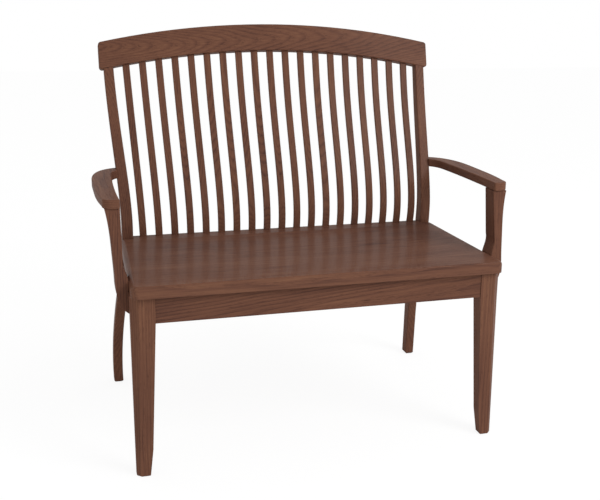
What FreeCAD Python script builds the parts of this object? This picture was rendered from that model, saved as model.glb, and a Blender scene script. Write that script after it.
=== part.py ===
import FreeCAD, Part
import math
import os
from FreeCAD import Placement, Rotation, Vector
import Sketcher

# A deacon's bench in stained oak for two sitters: a scooped plank seat on four legs, nineteen bent
# slats between two posts under an arched crest rail, and an open arm at each side.
# Millimetres, Z up, X to the right as seen from the front. While the bench is built, Y is 0 at the
# front faces of the front legs and grows towards the back. At the end the whole bench is moved so
# that the middle of its footprint is at the origin.

doc = FreeCAD.newDocument("DeaconsBench")
sheet = doc.addObject("Spreadsheet::Sheet", "Sizes")
sizes = {}


def size(alias, value):
    """Write one driving dimension into the next row of the sheet."""
    row = str(len(sizes) + 1)
    sheet.set("A" + row, alias)
    sheet.set("B" + row, repr(value))
    sheet.setAlias("B" + row, alias)
    sizes[alias] = value
    return value


# Seat
seat_top = size("seat_top", 457.0)
seat_thick = size("seat_thick", 28.5)
seat_front_half = size("seat_front_half", 442.0)
seat_rear_half = size("seat_rear_half", 431.0)
seat_overhang = size("seat_overhang", 11.5)
seat_corner = size("seat_corner", 18.0)
seat_rear_corner = size("seat_rear_corner", 6.0)
seat_side_round = size("seat_side_round", 12.0)
seat_front_round = size("seat_front_round", 3.0)
seat_rear_round = size("seat_rear_round", 5.0)
seat_post_gap = size("seat_post_gap", 0.3)
seat_behind_slats = size("seat_behind_slats", 8.0)
scoop_depth = size("scoop_depth", 7.0)
scoop_front = size("scoop_front", 7.0)
scoop_entry = size("scoop_entry", 0.3)
ledge_depth = size("ledge_depth", 33.0)
scoop_half = size("scoop_half", 405.0)
scoop_steps = 4

# Front legs
leg_proud = size("leg_proud", 1.0)
leg_width = size("leg_width", 53.0)
leg_depth = size("leg_depth", 40.0)
leg_knee_height = size("leg_knee_height", 65.0)
leg_knee_width = size("leg_knee_width", 38.5)
leg_knee_depth = size("leg_knee_depth", 29.0)
foot_width = size("foot_width", 31.0)
foot_depth = size("foot_depth", 24.0)
leg_facet_width = size("leg_facet_width", 17.0)
leg_facet_depth = size("leg_facet_depth", 19.0)
foot_facet_width = size("foot_facet_width", 9.0)
foot_facet_depth = size("foot_facet_depth", 10.0)
foot_chamfer = size("foot_chamfer", 2.0)

# Rails under the seat
rail_height = size("rail_height", 61.5)
rail_thick = size("rail_thick", 20.0)
rail_setback = size("rail_setback", 2.0)
side_rail_setback = size("side_rail_setback", 3.0)
rear_rail_height = size("rear_rail_height", 45.0)
rear_rail_behind_face = size("rear_rail_behind_face", 6.0)
tenon_thick = size("tenon_thick", 9.0)
tenon_length = size("tenon_length", 20.0)
rear_tenon_length = size("rear_tenon_length", 11.0)
tenon_shoulder = size("tenon_shoulder", 9.0)
tenon_haunch = size("tenon_haunch", 20.0)
mortise_gap = size("mortise_gap", 0.15)

# Back: the front faces of the slats follow one S curve
slat_count = 19
slat_width = size("slat_width", 18.0)
slat_thick = size("slat_thick", 9.0)
slat_edge = size("slat_edge", 1.5)
slat_seat_mortise = size("slat_seat_mortise", 18.0)
slat_crest_mortise = size("slat_crest_mortise", 22.0)
slat_pitch_seat = size("slat_pitch_seat", 41.3)
slat_pitch_crest = size("slat_pitch_crest", 43.3)
back_at_seat = size("back_at_seat", 421.0)

# Back posts, each one bent piece from the floor to the crest rail
post_width_seat = size("post_width_seat", 27.5)
post_width_crest = size("post_width_crest", 25.0)
post_edge = size("post_edge", 2.5)
post_width_floor = size("post_width_floor", 25.0)
post_inset = size("post_inset", 5.0)
post_forward = size("post_forward", 8.0)
post_depth_seat = size("post_depth_seat", 36.0)
post_depth_crest = size("post_depth_crest", 27.0)
post_depth_floor = size("post_depth_floor", 31.0)
post_foot_chamfer = size("post_foot_chamfer", 4.0)
post_tenon_width = size("post_tenon_width", 14.0)
post_tenon_thick = size("post_tenon_thick", 12.0)
post_tenon_length = size("post_tenon_length", 26.0)

# Crest rail
crest_past_posts = size("crest_past_posts", 11.0)
crest_thick = size("crest_thick", 30.0)
crest_bottom_middle = size("crest_bottom_middle", 924.0)
crest_bottom_end = size("crest_bottom_end", 875.5)
crest_top_middle = size("crest_top_middle", 992.5)
crest_top_end = size("crest_top_end", 944.5)
crest_lean = size("crest_lean", 14.5)
crest_corner = size("crest_corner", 8.0)
crest_edge = size("crest_edge", 3.0)

# Arms and arm posts
arm_top = size("arm_top", 630.5)
arm_thick = size("arm_thick", 21.0)
arm_front = size("arm_front", 80.0)
arm_corner = size("arm_corner", 22.0)
arm_inner_corner = size("arm_inner_corner", 5.0)
arm_edge = size("arm_edge", 3.0)
arm_past_post = size("arm_past_post", 23.0)
arm_post_past_seat = size("arm_post_past_seat", 29.5)
arm_post_thick = size("arm_post_thick", 21.0)
arm_post_front = size("arm_post_front", 47.0)
arm_post_depth_foot = size("arm_post_depth_foot", 51.0)
arm_post_depth_top = size("arm_post_depth_top", 47.0)
arm_post_rake = size("arm_post_rake", 38.0)
arm_post_drop = size("arm_post_drop", 51.0)
arm_post_toe = size("arm_post_toe", 12.0)
arm_post_blend = size("arm_post_blend", 40.0)
arm_post_flare = size("arm_post_flare", 13.0)
arm_post_flare_height = size("arm_post_flare_height", 100.0)
arm_post_edge = size("arm_post_edge", 2.5)
seat_to_arm_post = size("seat_to_arm_post", 1.5)

# Corner blocks, dowels and screws
block_wing = size("block_wing", 36.0)
block_thick = size("block_thick", 24.0)
block_clearance = size("block_clearance", 2.0)
dowel_diameter = size("dowel_diameter", 8.0)
dowel_length = size("dowel_length", 30.0)
dowel_spacing = size("dowel_spacing", 24.0)
rear_dowel_inset = size("rear_dowel_inset", 13.0)
fastener_gap = size("fastener_gap", 0.1)
screw_diameter = size("screw_diameter", 4.0)
screw_head = size("screw_head", 8.0)
screw_head_height = size("screw_head_height", 2.5)
screw_from_rail = size("screw_from_rail", 11.0)
seat_screw_length = size("seat_screw_length", 33.0)
foot_screw_length = size("foot_screw_length", 30.0)
foot_screw_height = size("foot_screw_height", 14.0)
doc.recompute()

seat_bottom = seat_top - seat_thick
rail_bottom = seat_bottom - rail_height
rear_rail_bottom = seat_bottom - rear_rail_height
LEFT, RIGHT = -1, 1
SIDES = (("left", LEFT), ("right", RIGHT))
pieces = []


def plane(body, role):
    """Return one of the body's own origin planes."""
    for feature in body.Origin.OriginFeatures:
        if feature.Role == role:
            return feature
    raise ValueError(role)


def new_body(name):
    return doc.addObject("PartDesign::Body", name)


def sketch_on(body, role, name, edges, offset=0.0):
    """Draw closed edges on one of the body's origin planes, lifted along its normal."""
    sketch = body.newObject("Sketcher::SketchObject", name)
    sketch.AttachmentSupport = [(plane(body, role), "")]
    sketch.MapMode = "FlatFace"
    sketch.AttachmentOffset = Placement(Vector(0, 0, offset), Rotation())
    sketch.addGeometry(edges, False)
    drawn = sketch.Geometry
    for i, edge in enumerate(drawn):
        following = (i + 1) % len(drawn)
        for end, here in ((1, edge.StartPoint), (2, edge.EndPoint)):
            for start, there in ((1, drawn[following].StartPoint), (2, drawn[following].EndPoint)):
                if here.distanceToPoint(there) < 1e-6:
                    sketch.addConstraint(Sketcher.Constraint("Coincident", i, end, following, start))
    return sketch


def polygon(points):
    """Straight edges round a list of (x, y) corners."""
    corners = [Vector(x, y, 0) for x, y in points]
    return [Part.LineSegment(a, b) for a, b in zip(corners, corners[1:] + corners[:1])]


def arc(a, b, c):
    """An arc through three points (x, y), run anticlockwise as a sketch keeps its arcs."""
    a, b, c = (Vector(x, y, 0) for x, y in (a, b, c))
    if (b - a).cross(c - b).z < 0:
        a, c = c, a
    return Part.Arc(a, b, c)


def pad(body, sketch, length, both_ways=False, reverse=False):
    """Pad a sketch by an expression on the sheet."""
    feature = body.newObject("PartDesign::Pad", sketch.Name + "Pad")
    feature.Profile = sketch
    feature.setExpression("Length", length)
    feature.Midplane = both_ways
    feature.Reversed = reverse
    sketch.Visibility = False
    body.Tip = feature
    return feature


def loft(body, sketches, name, smooth):
    feature = body.newObject("PartDesign::AdditiveLoft", name)
    feature.Profile = sketches[0]
    feature.Sections = sketches[1:]
    feature.Ruled = not smooth
    body.Tip = feature
    return feature


def round_edges(body, radius, chosen):
    """Fillet those edges of the body's tip that the test picks out."""
    doc.recompute()
    base = body.Tip
    names = ["Edge%d" % (i + 1) for i, edge in enumerate(base.Shape.Edges) if chosen(edge)]
    feature = body.newObject("PartDesign::Fillet", body.Name + "Fillet")
    feature.Base = (base, names)
    feature.setExpression("Radius", radius)
    body.Tip = feature
    return feature


def box(name, low, high, place=None):
    """A plain block between two corners, for tenons and the mortises that take them."""
    block = doc.addObject("Part::Box", name)
    block.Length = high[0] - low[0]
    block.Width = high[1] - low[1]
    block.Height = high[2] - low[2]
    corner = Placement(Vector(*low), Rotation())
    block.Placement = place.multiply(corner) if place else corner
    return block


def grown(low, high, gap):
    return [a - gap for a in low], [b + gap for b in high]


def shape_node(name, shape):
    feature = doc.addObject("Part::Feature", name)
    feature.Shape = shape
    return feature


def cut(base, tools, name):
    """Take every tool away from the base, one boolean for the whole piece."""
    fused = tools[0]
    if len(tools) > 1:
        fused = doc.addObject("Part::MultiFuse", name + "Tools")
        fused.Shapes = tools
    feature = doc.addObject("Part::Cut", name)
    feature.Base = base
    feature.Tool = fused
    return feature


def join(parts, name):
    feature = doc.addObject("Part::MultiFuse", name)
    feature.Shapes = parts
    return feature


def keep(feature, label):
    """List a finished piece under the name that its file gets."""
    feature.Label = label
    pieces.append(feature)
    return feature


# The S curve of the back, given where its front face stands at a few heights above the seat
BACK_CURVE = ((0, 0), (53, -2), (113, 12.5), (183, 41), (263, 77.5), (343, 111), (423, 137.5), (503, 158.5))
# The rear leg below it, given by how far it has swept back at a few shares of the way down to the floor
LEG_SWEEP = ((1.0, 141), (0.715, 128), (0.475, 94), (0.256, 41), (0.103, 9))
# Outer side of a back post: how far it stands out from where it passes the seat, at a few shares of the
# way down to the floor and at a few heights above the seat
LEG_SPLAY = ((1.0, 29), (0.5, 19))
POST_SPREAD = ((0, 0), (208, 8.5), (463, 20.5))


def spline(points):
    curve = Part.BSplineCurve()
    curve.interpolate([Vector(x, y, 0) for x, y in points])
    return curve


def reach(curve, height):
    """Parameter at which a curve drawn upwards as (distance, height) gets to a height, by halving."""
    low, high = curve.FirstParameter, curve.LastParameter
    for step in range(40):
        middle = 0.5 * (low + high)
        if curve.value(middle).y < height:
            low = middle
        else:
            high = middle
    return low


def at_height(curve, height):
    return curve.value(reach(curve, height)).x


back_curve = spline([(back_at_seat + sweep, seat_top + rise) for rise, sweep in BACK_CURVE])
post_at_seat = back_at_seat - post_forward
post_points = [(post_at_seat + sweep, seat_top * (1 - down)) for down, sweep in LEG_SWEEP]
post_points += [(post_at_seat + sweep, seat_top + rise) for rise, sweep in BACK_CURVE]
post_front_curve = spline(post_points)
post_half = seat_rear_half - post_inset
outer_points = [(post_half + out, seat_top * (1 - down)) for down, out in LEG_SPLAY]
outer_points += [(post_half + out, seat_top + rise) for rise, out in POST_SPREAD]
post_outer_curve = spline(outer_points)


def back_y(height):
    return at_height(back_curve, height)


def between(low, high, share):
    return low + (high - low) * share


def post_section(height):
    """Outer half, width, front and depth of a back post at a height."""
    if height >= seat_top:
        share = (height - seat_top) / (crest_bottom_end - seat_top)
        width, depth = post_width_crest, post_depth_crest
    else:
        share = (seat_top - height) / seat_top
        width, depth = post_width_floor, post_depth_floor
    return (at_height(post_outer_curve, height), between(post_width_seat, width, share),
            at_height(post_front_curve, height), between(post_depth_seat, depth, share))


def post_inner(height):
    outer, width, front, depth = post_section(height)
    return outer - width


# Derived places that several pieces share
leg_outer_half = seat_front_half + leg_proud
leg_inner = leg_outer_half - leg_width
side_rail_rear_half = at_height(post_outer_curve, seat_bottom) - rail_setback
crest_half = at_height(post_outer_curve, crest_bottom_end) + crest_past_posts
arm_post_outer = seat_front_half + arm_post_past_seat
pitch_height = crest_bottom_middle - seat_top
crest_front = back_y(crest_bottom_middle) - post_forward
seat_rear = back_at_seat + slat_thick + seat_behind_slats
notch_front = post_section(seat_top)[2] - seat_post_gap
crest_slope = math.cos(math.radians(crest_lean))
crest_place = Placement(Vector(0, crest_front, crest_bottom_middle), Rotation(Vector(1, 0, 0), -crest_lean))
arm_bottom = arm_top - arm_thick
rear_rail_front = back_at_seat + rear_rail_behind_face


def sagged(middle, end, half, x):
    """Height at x of the arc that stands at middle in the centre and at end at x = half."""
    sag = middle - end
    radius = (half * half + sag * sag) / (2 * sag)
    return middle - radius + math.sqrt(radius * radius - x * x)


def crest_under(x):
    return sagged(crest_bottom_middle, crest_bottom_end, crest_half, x)


# Slats, each sawn to the S curve and let into the seat and the crest rail
def slat_outline(top, gap):
    """Side view of a slat, as (y, z), with a gap added all round for its mortises."""
    faces = []
    for shift in (-gap, slat_thick + gap):
        curve = back_curve.copy()
        curve.translate(Vector(shift, 0, 0))
        curve.segment(curve.FirstParameter, reach(curve, top + gap))
        faces.append(curve)
    front, back = faces
    bottom = seat_top - slat_seat_mortise - gap
    heel = Vector(front.StartPoint.x, bottom, 0)
    tail = Vector(back.StartPoint.x, bottom, 0)
    return [
        front,
        Part.LineSegment(front.EndPoint, back.EndPoint),
        back,
        Part.LineSegment(back.StartPoint, tail),
        Part.LineSegment(tail, heel),
        Part.LineSegment(heel, front.StartPoint),
    ]


SIDE_VIEW = Rotation(Vector(0, 1, 0), Vector(0, 0, 1), Vector(1, 0, 0), "XYZ")
slat_cutters = []
for number in range(slat_count):
    step = number - (slat_count - 1) / 2
    x_seat = step * slat_pitch_seat
    x_crest = step * slat_pitch_crest
    fan = math.degrees(math.atan2(x_crest - x_seat, pitch_height))
    place = Placement(Vector(x_seat, 0, seat_top), Rotation(Vector(0, 1, 0), fan))
    place = place.multiply(Placement(Vector(0, 0, -seat_top), Rotation()))
    top = crest_under(x_crest) + slat_crest_mortise
    name = "back_slat_%02d" % (number + 1)
    body = new_body(name)
    pad(body, sketch_on(body, "YZ_Plane", name + "_side", slat_outline(top, 0.0)), "Sizes.slat_width", True)
    round_edges(body, "Sizes.slat_edge", lambda edge: edge.Curve.TypeId == "Part::GeomBSplineCurve")
    body.Placement = place
    keep(body, name)
    outline = Part.Face(Part.Wire([edge.toShape() for edge in slat_outline(top, mortise_gap)]))
    outline.Placement = Placement(Vector(-slat_width / 2 - mortise_gap, 0, 0), SIDE_VIEW)
    cutter = outline.extrude(Vector(slat_width + 2 * mortise_gap, 0, 0))
    cutter.Placement = place.multiply(cutter.Placement)
    slat_cutters.append(shape_node(name + "_mortises", cutter))
slat_mortises = doc.addObject("Part::Compound", "slat_mortises")
slat_mortises.Links = slat_cutters


# Crest rail: arched above and below, leaning back with the slats
def crest_outline():
    """Front view of the crest rail, as (x, height up its own face from the arch's middle)."""
    def up(height):
        return (height - crest_bottom_middle) / crest_slope

    low, high = up(crest_bottom_end), up(crest_top_end)
    return [
        arc((-crest_half, low), (0, 0), (crest_half, low)),
        Part.LineSegment(Vector(crest_half, low, 0), Vector(crest_half, high, 0)),
        arc((crest_half, high), (0, up(crest_top_middle)), (-crest_half, high)),
        Part.LineSegment(Vector(-crest_half, high, 0), Vector(-crest_half, low, 0)),
    ]


crest_body = new_body("crest_board")
pad(crest_body, sketch_on(crest_body, "XZ_Plane", "crest_front_view", crest_outline()), "Sizes.crest_thick",
    reverse=True)
round_edges(crest_body, "Sizes.crest_corner",
            lambda edge: edge.Length < crest_thick + 1 and abs(abs(edge.CenterOfMass.x) - crest_half) < 1e-3
            and abs(edge.CenterOfMass.y - crest_thick / 2) < 1e-3)
round_edges(crest_body, "Sizes.crest_edge",
            lambda edge: all(abs(v.Y) < 1e-3 for v in edge.Vertexes)
            or all(abs(v.Y - crest_thick) < 1e-3 for v in edge.Vertexes))
crest_body.Placement = crest_place
FRONT_VIEW = Rotation(Vector(1, 0, 0), Vector(0, 0, 1), Vector(0, -1, 0), "XYZ")
crest_face = Part.Face(Part.Wire([edge.toShape() for edge in crest_outline()]))
crest_face.Placement = Placement(Vector(0, -crest_thick, 0), FRONT_VIEW)
crest_space = crest_face.extrude(Vector(0, 3 * crest_thick, 0))
crest_space.Placement = crest_place.multiply(crest_space.Placement)
crest_shoulder = shape_node("crest_shoulder", crest_space)
post_tenon_cutters = []


# Back posts: each one board from the floor to the crest rail, shaped in front view and in side view
def post_view(near, far, sign):
    """Closed outline between two faces drawn upwards, its top straight and its foot chamfered."""
    toe = post_foot_chamfer
    faces = []
    for face in (near, far):
        face = face.copy()
        face.segment(reach(face, toe), face.LastParameter)
        for i, pole in enumerate(face.getPoles()):
            face.setPole(i + 1, Vector(sign * pole.x, pole.y, 0))
        faces.append(face)
    near, far = faces
    step = math.copysign(toe, far.StartPoint.x - near.StartPoint.x)
    near_foot = Vector(near.StartPoint.x + step, 0, 0)
    far_foot = Vector(far.StartPoint.x - step, 0, 0)
    return [
        near,
        Part.LineSegment(near.EndPoint, far.EndPoint),
        far,
        Part.LineSegment(far.StartPoint, far_foot),
        Part.LineSegment(far_foot, near_foot),
        Part.LineSegment(near_foot, near.StartPoint),
    ]


def post_board(name, sign):
    inner = spline([(post_inner(height), height) for half, height in outer_points])
    back = spline([(y + post_section(height)[3], height) for y, height in post_points])
    across = new_body(name + "_front_view")
    sketch = sketch_on(across, "XZ_Plane", name + "_front_sketch", post_view(inner, post_outer_curve, sign),
                       -crest_front / 2)
    pad(across, sketch, "Sizes.back_at_seat", reverse=True)
    along = new_body(name + "_side_view")
    sketch = sketch_on(along, "YZ_Plane", name + "_side_sketch", post_view(post_front_curve, back, 1),
                       sign * crest_half)
    pad(along, sketch, "4 * Sizes.rail_height", both_ways=True)
    board = doc.addObject("Part::Common", name + "_board")
    board.Base = across
    board.Tool = along
    doc.recompute()
    rounded = doc.addObject("Part::Fillet", name + "_blank")
    rounded.Base = board
    rounded.Edges = [(i + 1, post_edge, post_edge) for i, edge in enumerate(board.Shape.Edges)
                     if edge.BoundBox.ZLength > seat_top]
    return rounded


def back_post(side, sign):
    name = "back_post_" + side
    blank = post_board(name, sign)
    middle = sign * (post_inner(crest_bottom_end) + post_width_crest / 2)
    foot = (crest_under(middle) - crest_bottom_middle) / crest_slope
    inset = (crest_thick - post_tenon_thick) / 2
    low = (middle - post_tenon_width / 2, inset, foot - post_tenon_length)
    high = (middle + post_tenon_width / 2, inset + post_tenon_thick, foot + post_tenon_length)
    tenon = box(name + "_tenon", low, high, crest_place)
    post_tenon_cutters.append(box(name + "_crest_mortise", *grown(low, high, mortise_gap), crest_place))
    shouldered = cut(blank, [crest_shoulder], name + "_shouldered")
    return blank, join([shouldered, tenon], name + "_joined")


back_posts = {side: back_post(side, sign) for side, sign in SIDES}
crest = keep(cut(crest_body, [slat_mortises] + post_tenon_cutters, "crest_rail_cut"), "crest_rail")


# Seat: one thick plank, scooped from front to back, notched round the posts
def seat_outline():
    front = -seat_overhang
    notch = notch_front
    inner = post_inner(seat_top) - seat_post_gap
    rear = seat_rear
    c, r = seat_corner, seat_rear_corner
    up = Vector(0, 0, 1)

    def corner(x, y, radius, start, end):
        circle = Part.Circle(Vector(x, y, 0), up, radius)
        return Part.ArcOfCircle(circle, math.radians(start), math.radians(end))

    def line(x0, y0, x1, y1):
        return Part.LineSegment(Vector(x0, y0, 0), Vector(x1, y1, 0))

    wide, narrow = seat_front_half, seat_rear_half
    return [
        line(c - wide, front, wide - c, front),
        corner(wide - c, front + c, c, -90, 0),
        line(wide, front + c, narrow, notch - r),
        corner(narrow - r, notch - r, r, 0, 90),
        line(narrow - r, notch, inner, notch),
        line(inner, notch, inner, rear),
        line(inner, rear, -inner, rear),
        line(-inner, rear, -inner, notch),
        line(-inner, notch, r - narrow, notch),
        corner(r - narrow, notch - r, r, 90, 180),
        line(-narrow, notch - r, -wide, front + c),
        corner(c - wide, front + c, c, 180, 270),
    ]


# The scoop's side view: how deep it is, as a share of the full depth, at shares of the way back
SCOOP_CURVE = ((0, 0), (0.06, 0.09), (0.3, 0.46), (0.58, 0.9), (0.8, 1), (0.93, 0.8), (1, 0))


def scoop_outline(depth):
    """Side view of the wood scooped out, as (y, z): a long slope down and a short wall up to the ledge."""
    ledge = back_at_seat - ledge_depth
    start = seat_top + scoop_entry
    curve = spline([(between(scoop_front, ledge, along), start - (depth + scoop_entry) * down)
                    for along, down in SCOOP_CURVE])
    lid = seat_top + seat_thick
    return [
        curve,
        Part.LineSegment(curve.EndPoint, Vector(ledge, lid, 0)),
        Part.LineSegment(Vector(ledge, lid, 0), Vector(scoop_front, lid, 0)),
        Part.LineSegment(Vector(scoop_front, lid, 0), curve.StartPoint),
    ]


seat_plank = new_body("seat_plank")
seat_plan = sketch_on(seat_plank, "XY_Plane", "seat_plan", seat_outline(), seat_bottom)
pad(seat_plank, seat_plan, "Sizes.seat_thick")
doc.recompute()


def seat_round_at(vertex):
    """Radius of the round along the seat's top edge: small at the front, full along the sides."""
    if vertex.Y < -seat_overhang + 0.01:
        return seat_front_round
    if vertex.Y > seat_rear - 0.01:
        return seat_rear_round
    return seat_side_round


seat_rounded = doc.addObject("Part::Fillet", "seat_rounded")
seat_rounded.Base = seat_plank
rounds = []
for i, edge in enumerate(seat_plank.Shape.Edges):
    on_top = all(abs(v.Z - seat_top) < 1e-6 for v in edge.Vertexes)
    if on_top and (edge.CenterOfMass.y < notch_front - 0.01 or edge.CenterOfMass.y > seat_rear - 0.01):
        first = edge.valueAt(edge.FirstParameter)
        ends = sorted(edge.Vertexes, key=lambda v: v.Point.distanceToPoint(first))
        rounds.append((i + 1, seat_round_at(ends[0]), seat_round_at(ends[1])))
seat_rounded.Edges = rounds

# The scoop is deepest in the middle and runs out to nothing towards both ends
scoop_body = new_body("scoop")
scoop_sketches = []
for step in range(-scoop_steps, scoop_steps + 1):
    x = step / scoop_steps * seat_front_half
    depth = scoop_depth * (1 - (x / scoop_half) ** 2)
    name = "scoop_at_%d" % len(scoop_sketches)
    scoop_sketches.append(sketch_on(scoop_body, "YZ_Plane", name, scoop_outline(depth), x))
loft(scoop_body, scoop_sketches, "scoop_loft", True)


# Front legs: square at the rails, tapering on the two inner faces and faster below the knee, with the
# outer front corner taken off in a long facet
def leg_section(width, depth, facet_width, facet_depth, sign, inset=0.0):
    outer = leg_outer_half - inset
    inner = leg_outer_half - width + inset
    corners = [(inner, inset), (outer - facet_width, inset), (outer, facet_depth), (outer, depth - inset),
               (inner, depth - inset)]
    return [(sign * x, y) for x, y in corners]


def front_leg(side, sign):
    name = "front_leg_" + side
    body = new_body(name + "_blank")
    knee_share = leg_knee_height / rail_bottom
    knee_facet = (between(foot_facet_width, leg_facet_width, knee_share),
                  between(foot_facet_depth, leg_facet_depth, knee_share))
    foot = (foot_width, foot_depth, foot_facet_width, foot_facet_depth)
    head = (leg_width, leg_depth, leg_facet_width, leg_facet_depth)
    stations = (
        (0.0, leg_section(*foot, sign, foot_chamfer)),
        (foot_chamfer, leg_section(*foot, sign)),
        (leg_knee_height, leg_section(leg_knee_width, leg_knee_depth, *knee_facet, sign)),
        (rail_bottom, leg_section(*head, sign)),
        (seat_bottom, leg_section(*head, sign)),
    )
    sketches = [sketch_on(body, "XY_Plane", "%s_at_%d" % (name, height), polygon(corners), height)
                for height, corners in stations]
    loft(body, sketches, name + "_loft", False)
    return body


front_legs = {side: front_leg(side, sign) for side, sign in SIDES}


# Rails under the seat, tenoned into the legs and the posts
tenon_inset = (rail_thick - tenon_thick) / 2


def long_rail(name, front, bottom, half_low, half_high, tenon_half):
    """A rail across the bench, with a tenon at each end and the space for their mortises."""
    body = new_body(name + "_board")
    outline = polygon([(-half_low, bottom), (half_low, bottom), (half_high, seat_bottom),
                       (-half_high, seat_bottom)])
    front_view = sketch_on(body, "XZ_Plane", name + "_front_view", outline, -front)
    pad(body, front_view, "Sizes.rail_thick", reverse=True)
    low = (-tenon_half, front + tenon_inset, bottom + tenon_shoulder)
    high = (tenon_half, front + tenon_inset + tenon_thick, seat_bottom - tenon_haunch)
    return body, box(name + "_tenons", low, high), box(name + "_mortises", *grown(low, high, mortise_gap))


def rail_outer(y):
    """Outer face of a side rail, which closes in a little towards the back."""
    share = (y - leg_depth) / (back_at_seat - leg_depth)
    return between(leg_outer_half - side_rail_setback, side_rail_rear_half, share)


def side_rail(side, sign):
    """A rail from a front leg back to a post, its rear end shaped to the post."""
    name = "side_rail_" + side
    body = new_body(name + "_board")
    rear = back_at_seat + post_depth_seat / 2
    corners = [(rail_outer(leg_depth) - rail_thick, leg_depth), (rail_outer(leg_depth), leg_depth),
               (rail_outer(rear), rear), (rail_outer(rear) - rail_thick, rear)]
    outline = polygon([(sign * x, y) for x, y in corners])
    pad(body, sketch_on(body, "XY_Plane", name + "_plan", outline, rail_bottom), "Sizes.rail_height")
    tenons = []
    mortises = []
    rear_end = rear_rail_front + tenon_inset + tenon_thick
    ends = (("front", leg_depth, leg_depth - tenon_length, leg_depth + tenon_length),
            ("rear", back_at_seat, back_at_seat - tenon_length, rear_end))
    for end, shoulder, low_y, high_y in ends:
        middle = rail_outer(shoulder) - rail_thick / 2
        x0, x1 = sorted((sign * (middle - tenon_thick / 2), sign * (middle + tenon_thick / 2)))
        low = (x0, low_y, rail_bottom + tenon_shoulder)
        high = (x1, high_y, seat_bottom - tenon_haunch)
        tenons.append(box("%s_%s_tenon" % (name, end), low, high))
        mortises.append(box("%s_%s_mortise" % (name, end), *grown(low, high, mortise_gap)))
    shouldered = cut(body, [back_posts[side][0]], name + "_shouldered")
    return body, join([shouldered] + tenons, name + "_joined"), mortises


front_board, front_tenons, front_mortises = long_rail(
    "front_rail", rail_setback, rail_bottom, leg_inner, leg_inner, leg_inner + tenon_length)
rear_board, rear_tenons, rear_mortises = long_rail(
    "rear_rail", rear_rail_front, rear_rail_bottom, post_inner(rear_rail_bottom), post_inner(seat_bottom),
    post_inner(seat_bottom) + rear_tenon_length)
side_rails = {side: side_rail(side, sign) for side, sign in SIDES}
post_blanks = [back_posts[side][0] for side, sign in SIDES]
rear_shouldered = cut(rear_board, post_blanks, "rear_rail_shouldered")
keep(join([front_board, front_tenons], "front_rail_joined"), "front_rail")
keep(join([rear_shouldered, rear_tenons], "rear_rail_joined"), "rear_rail")


# Screws and dowels, each a separate solid in one node per kind, with the holes they stand in
def rod(diameter, length, place):
    cylinder = Part.makeCylinder(diameter / 2, length)
    cylinder.Placement = place
    return cylinder


def towards(point, direction):
    """A place at the point whose own Z runs along the direction."""
    return Placement(Vector(*point), Rotation(Vector(0, 0, 1), Vector(*direction)))


def screw(place, length):
    """A screw with its head against the face at the placement, running in along its Z."""
    head = Part.makeCylinder(screw_head / 2, screw_head_height, Vector(0, 0, -screw_head_height))
    solid = head.fuse(Part.makeCylinder(screw_diameter / 2, length)).removeSplitter()
    solid.Placement = place
    return solid


def hole(diameter, length, place):
    return shape_node("hole", rod(diameter + 2 * fastener_gap, length + fastener_gap, place))


def fasteners(name, solids):
    return keep(shape_node(name, Part.makeCompound(solids)), name)


# Corner blocks under the seat, glued into the four corners of the rails, two seat screws up through each
seat_screw_solids = []
seat_screw_holes = []


def corner_block(name, sign, face_y, inward, corner_x, corner_y):
    """A block between a long rail's face at face_y and a side rail, clear of the leg at its corner."""
    cut_x = corner_x - block_clearance - abs(face_y - corner_y)
    cut_y = corner_y
    while rail_outer(cut_y) - rail_thick - cut_x > inward * (cut_y - face_y):
        cut_y += inward
    cut_y -= inward * (inward * (cut_y - face_y) - (rail_outer(cut_y) - rail_thick - cut_x))
    wing_y = cut_y + inward * block_wing
    corners = [(cut_x - block_wing, face_y), (cut_x, face_y), (rail_outer(cut_y) - rail_thick, cut_y),
               (rail_outer(wing_y) - rail_thick, wing_y)]
    outline = polygon([(sign * x, y) for x, y in corners])
    body = new_body(name + "_blank")
    pad(body, sketch_on(body, "XY_Plane", name + "_plan", outline, seat_bottom - block_thick),
        "Sizes.block_thick")
    from_x, from_y = cut_x - block_wing / 2, face_y
    to_x, to_y = rail_outer(cut_y) - rail_thick, (cut_y + wing_y) / 2
    near_share = screw_from_rail / abs(to_y - from_y)
    far_share = 1 - screw_from_rail / abs(to_x - from_x)
    holes = []
    for share in (near_share, far_share):
        x, y = between(from_x, to_x, share), between(from_y, to_y, share)
        point = (sign * x, y, seat_bottom - block_thick)
        place = towards(point, (0, 0, 1))
        seat_screw_solids.append(screw(place, seat_screw_length))
        holes.append(hole(screw_diameter, seat_screw_length, place))
    seat_screw_holes.extend(holes)
    keep(cut(body, holes, name + "_drilled"), name)


post_inner_x = post_inner(seat_bottom)
post_front_y = post_section(seat_bottom)[2]
for side, sign in SIDES:
    corner_block("corner_block_front_" + side, sign, rail_setback + rail_thick, 1, leg_inner, leg_depth)
    corner_block("corner_block_rear_" + side, sign, rear_rail_front, -1, post_inner_x, post_front_y)
fasteners("seat_screws", seat_screw_solids)
seat_tools = [scoop_body, slat_mortises] + seat_screw_holes
seat = keep(cut(seat_rounded, seat_tools, "seat_cut"), "seat")

# Arms: a board bowed outwards in plan, its rear end butted against the back post. The front part of each
# side is given from the arm post's outer face and the arm's front, the rear part from the back post's
# outer side at the seat and the front of the slats.
ARM_OUTER_FRONT = ((-6, 30), (2, 110), (4, 210))
ARM_OUTER_REAR = ((68, -31), (44, 31), (3, 60))
ARM_INNER_REAR = ((3, 17), (15, -1), (22, -41))
ARM_INNER_FRONT = ((-42, 170), (-42, 80))


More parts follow.
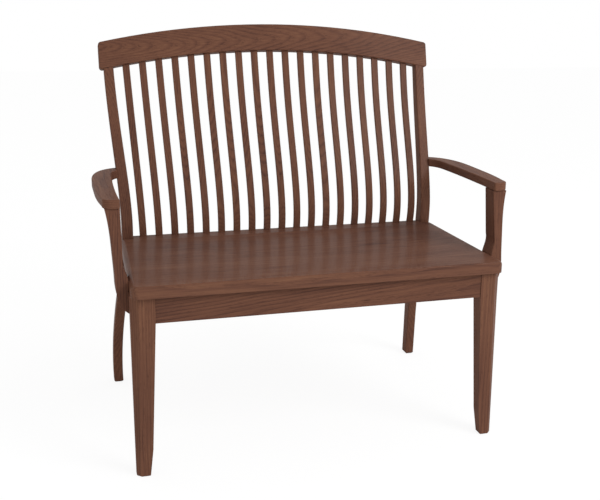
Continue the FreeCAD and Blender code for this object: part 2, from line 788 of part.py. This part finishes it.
def arm_outline(sign):
    edge = arm_post_outer + arm_past_post
    outside = [(edge + x, arm_front + y) for x, y in ARM_OUTER_FRONT]
    outside += [(post_half + x, back_at_seat + y) for x, y in ARM_OUTER_REAR]
    ox, oy = outside[0]
    ix, iy = arm_post_outer - arm_post_thick, arm_front + arm_inner_corner
    inside = [(post_half + x, back_at_seat + y) for x, y in ARM_INNER_REAR]
    inside += [(edge + x, arm_front + y) for x, y in ARM_INNER_FRONT] + [(ix, iy)]
    outer = spline([(sign * x, y) for x, y in outside])
    inner = spline([(sign * x, y) for x, y in inside])
    r, q = arm_corner, arm_inner_corner
    short = 1 - math.sqrt(0.5)
    start = Vector(sign * ox, arm_front + r, 0)
    return [
        Part.LineSegment(Vector(sign * (ix + q), arm_front, 0), Vector(sign * (ox - r), arm_front, 0)),
        arc((sign * (ox - r), arm_front), (sign * (ox - r * short), arm_front + r * short),
            (sign * ox, arm_front + r)),
        Part.LineSegment(start, outer.StartPoint),
        outer,
        Part.LineSegment(outer.EndPoint, inner.StartPoint),
        inner,
        arc((sign * ix, iy), (sign * (ix + q * short), arm_front + q * short), (sign * (ix + q), arm_front)),
    ]


# Outer face of an arm post's foot, given from its upright outer face and from the foot's underside, and the
# way it widens again under the arm, given in shares of the flare and of the flare's height
ARM_POST_TOE = ((-22, 6.5), (-10, 23), (-4, 44))
ARM_POST_FLARE = ((0.25, 0.6), (0.5, 0.33), (1, 0))


def arm_post(side, sign):
    """Upright board of an arm: seen from the front its foot curves in under the seat to the side rail."""
    name = "arm_post_" + side
    outer = arm_post_outer
    inner = outer - arm_post_thick
    foot_z = seat_bottom - arm_post_drop
    foot_y = arm_post_front + arm_post_depth_foot / 2
    beside = between(seat_front_half, seat_rear_half, foot_y / back_at_seat) + seat_to_arm_post
    heel = rail_outer(foot_y) - rail_thick / 2
    ledge = seat_bottom - seat_to_arm_post
    blend = seat_top + arm_post_blend
    inward = spline([(sign * x, z) for x, z in (
        (inner, blend), (between(inner, beside, 0.1), between(blend, seat_top, 0.45)),
        (between(inner, beside, 0.85), between(blend, seat_top, 0.92)), (beside, ledge))])
    face = [(heel + arm_post_toe, foot_z)]
    face += [(outer + x, foot_z + z) for x, z in ARM_POST_TOE]
    face += [(outer + ARM_POST_TOE[-1][0] / 2, seat_top), (outer, blend)]
    face += [(outer + arm_post_flare * out, arm_bottom - arm_post_flare_height * down)
             for out, down in ARM_POST_FLARE]
    outward = spline([(sign * x, z) for x, z in face])

    def line(x0, z0, x1, z1):
        return Part.LineSegment(Vector(sign * x0, z0, 0), Vector(sign * x1, z1, 0))

    front_view = [
        line(inner, arm_bottom, inner, blend),
        inward,
        line(beside, ledge, heel, ledge),
        line(heel, ledge, heel, foot_z),
        line(heel, foot_z, heel + arm_post_toe, foot_z),
        outward,
        line(outer + arm_post_flare, arm_bottom, inner, arm_bottom),
    ]
    across = new_body(name + "_front_view")
    pad(across, sketch_on(across, "XZ_Plane", name + "_front_sketch", front_view), "Sizes.back_at_seat",
        reverse=True)
    rear_foot = arm_post_front + arm_post_depth_foot
    rear_top = arm_post_front + arm_post_rake + arm_post_depth_top
    side_view = polygon([(arm_post_front, foot_z), (rear_foot, foot_z), (rear_top, arm_bottom),
                         (arm_post_front + arm_post_rake, arm_bottom)])
    along = new_body(name + "_side_view")
    sketch = sketch_on(along, "YZ_Plane", name + "_side_sketch", side_view, sign * inner)
    pad(along, sketch, "4 * Sizes.arm_post_thick", both_ways=True)
    board = doc.addObject("Part::Common", name + "_board")
    board.Base = across
    board.Tool = along
    return board, foot_y, foot_z


foot_screw_solids = []
dowel_solids = []
for side, sign in SIDES:
    blank = post_blanks[SIDES.index((side, sign))]
    board, foot_y, foot_z = arm_post(side, sign)
    doc.recompute()
    rounded = doc.addObject("Part::Fillet", "arm_post_%s_rounded" % side)
    rounded.Base = board
    picked = []
    for i, edge in enumerate(board.Shape.Edges):
        tall = edge.BoundBox.ZLength > arm_post_toe
        outside = min(abs(v.X) for v in edge.Vertexes) > rail_outer(foot_y) + arm_post_edge
        if tall and outside:
            picked.append((i + 1, arm_post_edge, arm_post_edge))
    rounded.Edges = picked

    # Screws run square through the side rail into the foot
    slope = (rail_outer(leg_depth) - rail_outer(back_at_seat)) / (back_at_seat - leg_depth)
    foot_holes = []
    for step in (-0.5, 0.5):
        y = foot_y + step * dowel_spacing
        point = (sign * (rail_outer(y) - rail_thick), y, foot_z + foot_screw_height)
        place = towards(point, (sign, slope, 0))
        foot_screw_solids.append(screw(place, foot_screw_length))
        foot_holes.append(hole(screw_diameter, foot_screw_length, place))

    # Two dowels stand in the top of the arm post and one lies in the outer side of the back post
    upright_holes = []
    top_y = arm_post_front + arm_post_rake + arm_post_depth_top / 2
    for step in (-0.5, 0.5):
        x = sign * (arm_post_outer - arm_post_thick / 2)
        place = towards((x, top_y + step * dowel_spacing, arm_bottom - dowel_length / 2), (0, 0, 1))
        dowel_solids.append(rod(dowel_diameter, dowel_length, place))
        upright_holes.append(hole(dowel_diameter, dowel_length, place))
    middle_z = arm_bottom + arm_thick / 2
    outer, width, front, depth = post_section(middle_z)
    place = towards((sign * (outer - dowel_length / 2), front + rear_dowel_inset, middle_z), (sign, 0, 0))
    dowel_solids.append(rod(dowel_diameter, dowel_length, place))
    rear_hole = hole(dowel_diameter, dowel_length, place)

    side_board, side_joined, side_mortises = side_rails[side]
    keep(cut(side_joined, foot_holes, "side_rail_%s_drilled" % side), "side_rail_" + side)
    post_tools = [side_board] + foot_holes + upright_holes
    keep(cut(rounded, post_tools, "arm_post_%s_drilled" % side), "arm_post_" + side)
    arm = new_body("arm_%s_board" % side)
    arm_plan = sketch_on(arm, "XY_Plane", "arm_%s_plan" % side, arm_outline(sign), arm_bottom)
    pad(arm, arm_plan, "Sizes.arm_thick")
    rear_end = post_half + min(ARM_INNER_REAR[0][0], ARM_OUTER_REAR[-1][0])
    round_edges(arm, "Sizes.arm_edge",
                lambda edge: edge.BoundBox.ZLength < 0.01 and abs(edge.CenterOfMass.x) > rear_end + 0.01)
    keep(cut(arm, [blank, rear_hole] + upright_holes, "arm_%s_cut" % side), "arm_" + side)
    leg_tools = [front_mortises, side_mortises[0]]
    keep(cut(front_legs[side], leg_tools, "front_leg_%s_cut" % side), "front_leg_" + side)
    back_tools = [rear_mortises, side_mortises[1], rear_hole]
    keep(cut(back_posts[side][1], back_tools, "back_post_%s_cut" % side), "back_post_" + side)
fasteners("arm_post_screws", foot_screw_solids)
fasteners("arm_dowels", dowel_solids)
doc.recompute()

# Put the middle of the footprint at the origin
extent = FreeCAD.BoundBox()
for piece in pieces:
    extent.add(piece.Shape.optimalBoundingBox(False, False))
to_origin = Vector(0, -extent.Center.y, 0)
for piece in pieces:
    place = piece.Placement
    place.move(to_origin)
    piece.Placement = place
doc.recompute()

# Check every object, then write one file for each piece
for thing in doc.Objects:
    if "Invalid" in thing.State or "Error" in thing.State:
        raise RuntimeError("%s: %s" % (thing.Name, thing.State))
os.makedirs("parts", exist_ok=True)
for piece in pieces:
    if piece.Shape.isNull() or not piece.Shape.isValid():
        raise RuntimeError("bad shape: " + piece.Label)
    piece.Shape.exportStep("parts/%s.step" % piece.Label)
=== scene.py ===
import math

import bpy
import numpy as np
from mathutils import Matrix, Vector


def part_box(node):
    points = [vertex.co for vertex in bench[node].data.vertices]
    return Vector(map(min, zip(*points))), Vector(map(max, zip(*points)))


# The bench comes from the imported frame, in metres: X to the right, -Y to the sitters' knees, Z up.
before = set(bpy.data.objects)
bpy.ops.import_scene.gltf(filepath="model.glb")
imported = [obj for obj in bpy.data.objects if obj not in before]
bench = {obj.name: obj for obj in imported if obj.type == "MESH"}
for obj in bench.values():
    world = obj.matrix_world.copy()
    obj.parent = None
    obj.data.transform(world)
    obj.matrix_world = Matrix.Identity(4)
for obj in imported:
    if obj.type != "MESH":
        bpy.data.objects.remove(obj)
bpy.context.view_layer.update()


# Front legs. Two oak legs, square where the rails are tenoned in and tapering to the floor, with a
# long facet planed on the outer front corner. Every oak piece of the bench takes the same brown
# stain and thin satin lacquer, so that finish is worked out here.
class Shade:
    """A number, colour or direction that changes over a surface. Python's signs add the Math nodes
    behind it."""

    def __init__(self, finish, socket):
        self.finish = finish
        self.socket = socket

    def maths(self, operation, *values):
        return self.finish.shade("ShaderNodeMath", {"operation": operation},
                                 dict(enumerate(values)))

    def __add__(self, other):
        return self.maths("ADD", self, other)

    def __radd__(self, other):
        return self.maths("ADD", other, self)

    def __sub__(self, other):
        return self.maths("SUBTRACT", self, other)

    def __rsub__(self, other):
        return self.maths("SUBTRACT", other, self)

    def __mul__(self, other):
        return self.maths("MULTIPLY", self, other)

    def __rmul__(self, other):
        return self.maths("MULTIPLY", other, self)

    def __truediv__(self, other):
        return self.maths("DIVIDE", self, other)

    def __pow__(self, other):
        return self.maths("POWER", self, other)

    def __mod__(self, other):
        return self.maths("FLOORED_MODULO", self, other)

    def whole(self):
        return self.maths("FLOOR", self)

    def swing(self):
        """How far a number between 0 and 1 is above or below its middle."""
        return self - 0.5

    def ease(self, low, high):
        """0 below low, 1 above high, and an S curve between."""
        return self.finish.shade("ShaderNodeMapRange", {"interpolation_type": "SMOOTHSTEP"},
                                 {"Value": self, "From Min": low, "From Max": high}, "Result")


class Finish:
    """The nodes of one material, or of the studio's walls, added one by one."""

    def __init__(self, owner):
        self.owner = owner
        owner.use_nodes = True
        self.tree = owner.node_tree
        self.tree.nodes.clear()

    def node(self, kind, settings, sockets):
        """Add a node: its settings first, then the values and links of its sockets."""
        node = self.tree.nodes.new(kind)
        for name, value in settings.items():
            setattr(node, name, value)
        for name, value in sockets.items():
            socket = node.inputs[name]
            if isinstance(value, Shade):
                self.tree.links.new(value.socket, socket)
            elif socket.type == "RGBA":
                socket.default_value = (*value, 1.0)
            else:
                socket.default_value = value
        return node

    def shade(self, kind, settings, sockets, output=0):
        return Shade(self, self.node(kind, settings, sockets).outputs[output])

    def place(self):
        """Where a point of the piece lies, in metres from the middle of the bench's footprint."""
        return self.shade("ShaderNodeTexCoord", {}, {}, "Object")

    def split(self, vector):
        """The three numbers of a vector."""
        parts = self.node("ShaderNodeSeparateXYZ", {}, {"Vector": vector})
        return [Shade(self, output) for output in parts.outputs]

    def blend(self, share, first, second):
        """A colour that goes from the first to the second as share goes from 0 to 1. A Mix node
        takes its colours in sockets 6 and 7, and gives one out in socket 2."""
        return self.shade("ShaderNodeMix", {"data_type": "RGBA"},
                          {0: share, 6: first, 7: second}, 2)

    def cloud(self, vector, scale, detail):
        """Noise between 0 and 1: scale says how often it repeats in a metre along each axis, and
        detail how many finer layers it has."""
        stretched = self.shade("ShaderNodeVectorMath", {"operation": "MULTIPLY"},
                               {0: vector, 1: scale})
        return self.shade("ShaderNodeTexNoise", {"noise_dimensions": "3D"},
                          {"Vector": stretched, "Scale": 1.0, "Detail": detail})

    def relief(self, strength, height, depth=0.0003):
        """Light falls on the surface as if a height of 1 stood up from it by depth metres."""
        return self.shade("ShaderNodeBump", {},
                          {"Strength": strength, "Distance": depth, "Height": height})

    def surface(self, sockets):
        """Close the material with one surface, and hand it over."""
        finished = self.shade("ShaderNodeBsdfPrincipled", {}, sockets)
        self.node("ShaderNodeOutputMaterial", {}, {"Surface": finished})
        return self.owner


def dress(piece, material):
    bench[piece].material_slots[0].material = material


# The stained wood's colours, from the palest to the open pores
OAK_LIGHT = (0.205, 0.096, 0.054)
OAK_MIDDLE = (0.134, 0.059, 0.037)
OAK_DARK = (0.056, 0.025, 0.020)
OAK_PORE = (0.028, 0.013, 0.011)

# The clouds that the figure is made of: how often each repeats in a metre, twice across the grain
# and once along it, and its finer layers
SWELL = (9.0, 9.0, 2.2), 2.0
RIPPLE = (60.0, 60.0, 9.0), 3.0
FIBRE = (420.0, 420.0, 9.0), 3.0
PORES = (1500.0, 1500.0, 55.0), 1.0
PATCH = (14.0, 14.0, 3.5), 3.0
RIPPLE_TO_SWELL = 0.12

# A year's ring runs from 0 to 1: the early wood fades out, and the late wood builds up and stops
EARLY_WOOD_FADES = 0.05, 0.55
LATE_WOOD_BUILDS = 0.5, 0.98
LATE_WOOD_STOPS = 0.97, 1.0

# Where the noise makes a pore, how open the pores are in all the wood, how much more they are in the
# early wood, and how far a pore's colour covers the stain
PORE_EDGE = 0.56, 0.68
PORES_EVERYWHERE = 0.25
MORE_PORES_EARLY = 0.75
PORE_COVER = 0.6

# How deep the stain goes in everywhere, what each part of the figure adds to it, and the depths
# between which one colour turns into the next
EVEN_DEPTH = 0.42
LATE_DEPTH = 0.34
EARLY_DEPTH = 0.10
FIBRE_DEPTH = 0.85
PATCH_DEPTH = 0.75
BOARD_DEPTH = 0.16
LIGHT_TO_MIDDLE = -0.1, 0.5
MIDDLE_TO_DARK = 0.4, 1.1

# How much rougher or higher each part of the figure is under the lacquer
FIBRE_ROUGHNESS = 0.12
PORE_ROUGHNESS = 0.15
PATCH_ROUGHNESS = 0.08
FIBRE_HEIGHT = 0.35
LATE_HEIGHT = 0.25
PORE_SINK = 0.8
OAK_RELIEF = 0.35
BARE_WOOD_SHINE = 0.02
LACQUER_ROUGHNESS = 0.15

# How far along each axis of the tree a seat board's figure may be from its neighbour's, in metres
BOARD_SHIFT = (0.05, 0.02, 3.0)


def stain(piece, grain, heart, ring, waver=0.016, tone=0.0, gloss=0.45, shine=0.04,
          board_width=None):
    """Dress a piece in stained oak. The grain runs along a direction, and the year rings are
    wavering tubes, ring metres thick, round a line in that direction through the tree's heart. So a
    flat face cuts them in arches where it is nearly tangent to them, and in straight lines where it
    is not. With a board width, the figure starts anew at each board's edge, counted along Y."""
    finish = Finish(bpy.data.materials.new(piece + "_oak"))
    place = finish.place()
    along = Vector(grain).normalized()
    turn = along.rotation_difference(Vector((0, 0, 1)))
    wood = finish.shade("ShaderNodeMapping", {"vector_type": "POINT"}, {
        "Vector": place, "Rotation": turn.to_euler(), "Location": -(turn @ Vector(heart))})
    if board_width:
        # Each board has a whole number, and half is added so that rounding can't change it
        board = (finish.split(place)[1] / board_width).whole()
        drift = finish.shade("ShaderNodeTexWhiteNoise", {"noise_dimensions": "1D"},
                             {"W": board + 0.5})
        shift = finish.shade("ShaderNodeCombineXYZ", {}, {
            axis: drift * reach for axis, reach in zip("XYZ", BOARD_SHIFT)})
        wood = finish.shade("ShaderNodeVectorMath", {"operation": "ADD"}, {0: wood, 1: shift})

    # The tree grew unevenly: the rings swell over a hand's width and ripple over a finger's
    swell = finish.cloud(wood, *SWELL)
    ripple = finish.cloud(wood, *RIPPLE)
    u, v = finish.split(wood)[:2]
    radius = ((u * u + v * v) ** 0.5 + swell.swing() * waver
              + ripple.swing() * (waver * RIPPLE_TO_SWELL))
    year = (radius / ring) % 1.0
    early = 1.0 - year.ease(*EARLY_WOOD_FADES)
    late = year.ease(*LATE_WOOD_BUILDS) * (1.0 - year.ease(*LATE_WOOD_STOPS))

    # Open pores stand mostly in the early wood, and fine fibres run through all of it
    fibre = finish.cloud(wood, *FIBRE)
    pores = finish.cloud(wood, *PORES)
    pore = pores.ease(*PORE_EDGE) * (early * MORE_PORES_EARLY + PORES_EVERYWHERE)
    patch = finish.cloud(wood, *PATCH)

    depth = (late * LATE_DEPTH + early * EARLY_DEPTH + fibre.swing() * FIBRE_DEPTH
             + patch.swing() * PATCH_DEPTH + (EVEN_DEPTH - tone))
    if board_width:
        depth = depth + drift.swing() * BOARD_DEPTH
    pale_side = finish.blend(depth.ease(*LIGHT_TO_MIDDLE), OAK_LIGHT, OAK_MIDDLE)
    stained = finish.blend(depth.ease(*MIDDLE_TO_DARK), pale_side, OAK_DARK)

    dress(piece, finish.surface({
        "Base Color": finish.blend(pore * PORE_COVER, stained, OAK_PORE),
        "Roughness": (gloss + fibre.swing() * FIBRE_ROUGHNESS + pore * PORE_ROUGHNESS
                      + patch.swing() * PATCH_ROUGHNESS),
        "Normal": finish.relief(OAK_RELIEF,
                                fibre * FIBRE_HEIGHT - pore * PORE_SINK + late * LATE_HEIGHT),
        "Specular IOR Level": BARE_WOOD_SHINE, "Coat Weight": shine,
        "Coat Roughness": LACQUER_ROUGHNESS}))


# Both legs come from a paler board than the rest
LEG_TONE = 0.10
stain("front_leg_left", grain=(0.01, 0.01, 1), heart=(-0.447, -0.345, 0), ring=0.0042,
      tone=LEG_TONE)
stain("front_leg_right", grain=(-0.012, 0.008, 1), heart=(0.385, -0.35, 0), ring=0.0046,
      tone=LEG_TONE)

# Rails. Four oak boards under the seat, tenoned into the front legs and the back posts. The front
# one is cut so that it shows long slanting arches of grain.
stain("front_rail", grain=(1, 0.012, 0.075), heart=(0.1, -0.335, 0.375), ring=0.0060, waver=0.022)
stain("rear_rail", grain=(1, 0.01, -0.02), heart=(0, 0.20, 0.37), ring=0.0055)
stain("side_rail_left", grain=(0.02, 1, 0.03), heart=(-0.47, 0, 0.36), ring=0.0055)
stain("side_rail_right", grain=(-0.02, 1, 0.02), heart=(0.47, 0, 0.37), ring=0.0055)

# Corner blocks. Four small blocks of unstained poplar, sawn and glued into the corners of the
# rails, out of sight. Screws go up through them into the seat.
POPLAR = (0.52, 0.43, 0.25)
POPLAR_STREAK = (0.36, 0.33, 0.17)
STREAKS = (8.0, 160.0, 160.0), 3.0
STREAK_EDGE = 0.35, 0.75
SAW_MARKS = (900.0, 60.0, 60.0), 1.0
POPLAR_RELIEF = 0.3
POPLAR_ROUGHNESS = 0.68
SAW_ROUGHNESS = 0.15


def poplar():
    """Pale sawn wood: faint green streaks run along X, and the saw's marks cross them."""
    finish = Finish(bpy.data.materials.new("corner_block_poplar"))
    place = finish.place()
    streak = finish.cloud(place, *STREAKS)
    saw = finish.cloud(place, *SAW_MARKS)
    return finish.surface({
        "Base Color": finish.blend(streak.ease(*STREAK_EDGE), POPLAR, POPLAR_STREAK),
        "Roughness": POPLAR_ROUGHNESS + saw.swing() * SAW_ROUGHNESS,
        "Normal": finish.relief(POPLAR_RELIEF, saw + streak)})


poplar_wood = poplar()
for corner in ("front_left", "front_right", "rear_left", "rear_right"):
    dress("corner_block_" + corner, poplar_wood)

# Seat. Wide oak boards glued edge to edge into one plank, scooped for the sitters, mortised for the
# slats and notched round the back posts. Its lacquer is a little glossier than the rest, so it
# mirrors the slats softly.
SEAT_BOARD_WIDTH = 0.118
stain("seat", grain=(1, 0.004, 0.003), heart=(0.0, -0.05, 0.38), ring=0.0050, waver=0.02,
      gloss=0.42, shine=0.09, board_width=SEAT_BOARD_WIDTH)

# Back posts. Each is one curved piece of oak from the floor to the crest rail, rear leg and back
# post in one, with its grain running the whole way and a tenon at the top.
stain("back_post_left", grain=(0.02, 0.05, 1), heart=(-0.47, 0.16, 0.4), ring=0.0040)
stain("back_post_right", grain=(-0.02, 0.04, 1), heart=(0.475, 0.15, 0.4), ring=0.0042)

# Slats. Nineteen thin strips of oak, bent and let into the seat and the crest rail, where they fan
# out. Each comes from another part of the board, so each has its own figure and takes the stain its
# own way.
SLATS = 19
MIDDLE_SLAT = 10
SLAT_FAN = 0.0055
SLAT_LEAN = 0.006
SLAT_SLOPE = 0.30
SLAT_HEART_DEPTH, SLAT_HEART_HEIGHT = 0.20, 0.62
SLAT_SHIFT_X, SLAT_SHIFT_Y = 0.035, 0.03
SLAT_TONE = 0.07
CUT_SEED = 19
cut_order = np.random.RandomState(CUT_SEED)
for number in range(1, SLATS + 1):
    slat = "back_slat_%02d" % number
    shift_x, shift_y, lean, tone = cut_order.uniform(-1, 1, 4)
    low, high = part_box(slat)
    middle_x = (low[0] + high[0]) / 2
    stain(slat, grain=((number - MIDDLE_SLAT) * SLAT_FAN + SLAT_LEAN * lean, SLAT_SLOPE, 1),
          heart=(middle_x + SLAT_SHIFT_X * shift_x, SLAT_HEART_DEPTH + SLAT_SHIFT_Y * shift_y,
                 SLAT_HEART_HEIGHT),
          ring=0.0036, waver=0.010, tone=SLAT_TONE * tone)

# Crest rail. A thick oak board, sawn to an arch and mortised below for the slats and posts. It is
# plain-sawn, so broad pointed arches of grain lie across its face.
stain("crest_rail", grain=(1, 0.10, 0.02), heart=(0, 0.335, 0.935), ring=0.0040, waver=0.022,
      tone=0.02)

# Arm posts and arms. Two raked oak boards screwed to the side rails from inside, and two bowed oak
# boards that are dowelled down onto them and against the outer sides of the back posts.
stain("arm_post_left", grain=(0, 0.12, 1), heart=(-0.50, -0.20, 0.4), ring=0.0040)
stain("arm_post_right", grain=(0, 0.12, 1), heart=(0.435, -0.245, 0.4), ring=0.0040)
stain("arm_left", grain=(-0.02, 1, 0.01), heart=(-0.47, 0, 0.57), ring=0.0042, tone=0.04)
stain("arm_right", grain=(0.02, 1, 0.01), heart=(0.47, 0, 0.57), ring=0.0042, tone=0.06)

# Dowels and screws. Turned beech dowels glued into the arms and their posts, and zinc-plated steel
# screws driven from inside or below. All of them are out of sight in the joints.
BEECH = (0.60, 0.42, 0.26)
BEECH_FLECK = (0.42, 0.26, 0.15)
FLECKS = (900.0, 900.0, 120.0), 2.0
FLECK_EDGE = 0.5, 0.7
BEECH_ROUGHNESS = 0.6
FLECK_ROUGHNESS = 0.1
ZINC_BRIGHT = (0.66, 0.67, 0.69)
ZINC_DULL = (0.52, 0.53, 0.56)
PLATING = (300.0, 300.0, 300.0), 3.0
PLATING_EDGE = 0.3, 0.7
ZINC_ROUGHNESS = 0.28
PLATING_ROUGHNESS = 0.2


def beech():
    """Pale turned wood with short dark flecks."""
    finish = Finish(bpy.data.materials.new("dowel_beech"))
    fleck = finish.cloud(finish.place(), *FLECKS)
    return finish.surface({
        "Base Color": finish.blend(fleck.ease(*FLECK_EDGE), BEECH, BEECH_FLECK),
        "Roughness": BEECH_ROUGHNESS + fleck * FLECK_ROUGHNESS})


def zinc():
    """Bright plated steel, clouded by the plating bath."""
    finish = Finish(bpy.data.materials.new("screw_zinc"))
    dullness = finish.cloud(finish.place(), *PLATING)
    return finish.surface({
        "Base Color": finish.blend(dullness.ease(*PLATING_EDGE), ZINC_BRIGHT, ZINC_DULL),
        "Metallic": 1.0, "Roughness": ZINC_ROUGHNESS + dullness * PLATING_ROUGHNESS})


dress("arm_dowels", beech())
zinc_plate = zinc()
dress("seat_screws", zinc_plate)
dress("arm_post_screws", zinc_plate)

# Studio floor. A white sheet that fades into the white room. To the camera, most of its colour is a
# plain white glow, and the rest is paint that keeps the bench's soft shadow.
FLOOR_HALF = 12.0
FLOOR_GREY = (0.90, 0.90, 0.90)
FLOOR_WHITE = (0.93, 0.93, 0.93)
FLOOR_SPECKS = (3.0, 3.0, 3.0), 3.0
FLOOR_GLOW = 1.03
FLOOR_GLOW_SHARE = 0.86
WHITE = (1.0, 1.0, 1.0)


def studio_floor():
    """One square face at height 0, FLOOR_HALF metres from its middle to each side."""
    corners = np.array([[-1, -1, 0], [1, -1, 0], [1, 1, 0], [-1, 1, 0]], dtype=float) * FLOOR_HALF
    mesh = bpy.data.meshes.new("studio_floor")
    mesh.from_pydata(corners.tolist(), [], [(0, 1, 2, 3)])
    floor = bpy.data.objects.new("studio_floor", mesh)
    bpy.context.scene.collection.objects.link(floor)
    finish = Finish(bpy.data.materials.new("studio_floor_paint"))
    speck = finish.cloud(finish.place(), *FLOOR_SPECKS)
    paint = finish.shade("ShaderNodeBsdfDiffuse", {}, {
        "Color": finish.blend(speck, FLOOR_GREY, FLOOR_WHITE)})
    glow = finish.shade("ShaderNodeEmission", {}, {"Color": WHITE, "Strength": FLOOR_GLOW})
    seen = finish.shade("ShaderNodeLightPath", {}, {}, "Is Camera Ray")
    both = finish.shade("ShaderNodeMixShader", {}, {0: seen * FLOOR_GLOW_SHARE, 1: paint, 2: glow})
    finish.node("ShaderNodeOutputMaterial", {}, {"Surface": both})
    mesh.materials.append(finish.owner)


studio_floor()

# Studio room. White walls all round: the camera sees them as white, and the bench gets their light
# a little weaker.
ROOM_LIGHT = 0.80
ROOM_SEEN = 1.0
room = Finish(bpy.data.worlds.new("studio_room"))
bpy.context.scene.world = room.owner
seen = room.shade("ShaderNodeLightPath", {}, {}, "Is Camera Ray")
strength = room.shade("ShaderNodeMapRange", {},
                      {"Value": seen, "To Min": ROOM_LIGHT, "To Max": ROOM_SEEN}, "Result")
walls = room.shade("ShaderNodeBackground", {}, {"Color": WHITE, "Strength": strength})
room.node("ShaderNodeOutputWorld", {}, {"Surface": walls})

# Lamp. One large round soft lamp stands to the right in front of the bench, above it.
LAMP_PLACE = Vector((2.2, -2.6, 2.9))
LAMP_AIM = Vector((0.0, 0.0, 0.5))
LAMP_WIDTH = 2.0
LAMP_POWER = 86.0
lamp = bpy.data.lights.new("soft_lamp_right", "AREA")
lamp.shape = "DISK"
lamp.size = LAMP_WIDTH
lamp.energy = LAMP_POWER
lamp_stand = bpy.data.objects.new("soft_lamp_right", lamp)
bpy.context.scene.collection.objects.link(lamp_stand)
lamp_turn = (LAMP_AIM - LAMP_PLACE).to_track_quat("-Z", "Y")
lamp_stand.matrix_world = Matrix.LocRotScale(LAMP_PLACE, lamp_turn, None)

# Camera. It stands a little to the left in front of the bench and above it, and looks down at the
# seat. Angles are in radians, the picture's centre and the focal length in pixels, the sensor in mm.
CAMERA_PLACE = Vector((-0.58040, -2.18413, 1.05327))
CAMERA_YAW = 0.2812
CAMERA_PITCH = 0.2616
CAMERA_ROLL = 0.0138
FOCAL_PIXELS = 903.98
PHOTO_WIDTH, PHOTO_HEIGHT = 600, 500
CENTRE_X, CENTRE_Y = 312.40, 243.51
SENSOR = 36.0
sight = Vector((math.sin(CAMERA_YAW) * math.cos(CAMERA_PITCH),
                math.cos(CAMERA_YAW) * math.cos(CAMERA_PITCH), -math.sin(CAMERA_PITCH)))
level_right = Vector((math.cos(CAMERA_YAW), -math.sin(CAMERA_YAW), 0.0))
level_up = level_right.cross(sight)
right = math.cos(CAMERA_ROLL) * level_right + math.sin(CAMERA_ROLL) * level_up
up = -math.sin(CAMERA_ROLL) * level_right + math.cos(CAMERA_ROLL) * level_up
lens = bpy.data.cameras.new("photo_camera")
lens.sensor_width = SENSOR
lens.lens = SENSOR * FOCAL_PIXELS / PHOTO_WIDTH
lens.shift_x = (PHOTO_WIDTH / 2 - CENTRE_X) / PHOTO_WIDTH
lens.shift_y = (CENTRE_Y - PHOTO_HEIGHT / 2) / PHOTO_WIDTH
camera = bpy.data.objects.new("photo_camera", lens)
bpy.context.scene.collection.objects.link(camera)
camera_turn = Matrix((right, up, -sight)).transposed().to_4x4()
camera.matrix_world = Matrix.Translation(CAMERA_PLACE) @ camera_turn
bpy.context.scene.camera = camera
bpy.context.scene.view_settings.view_transform = "Standard"
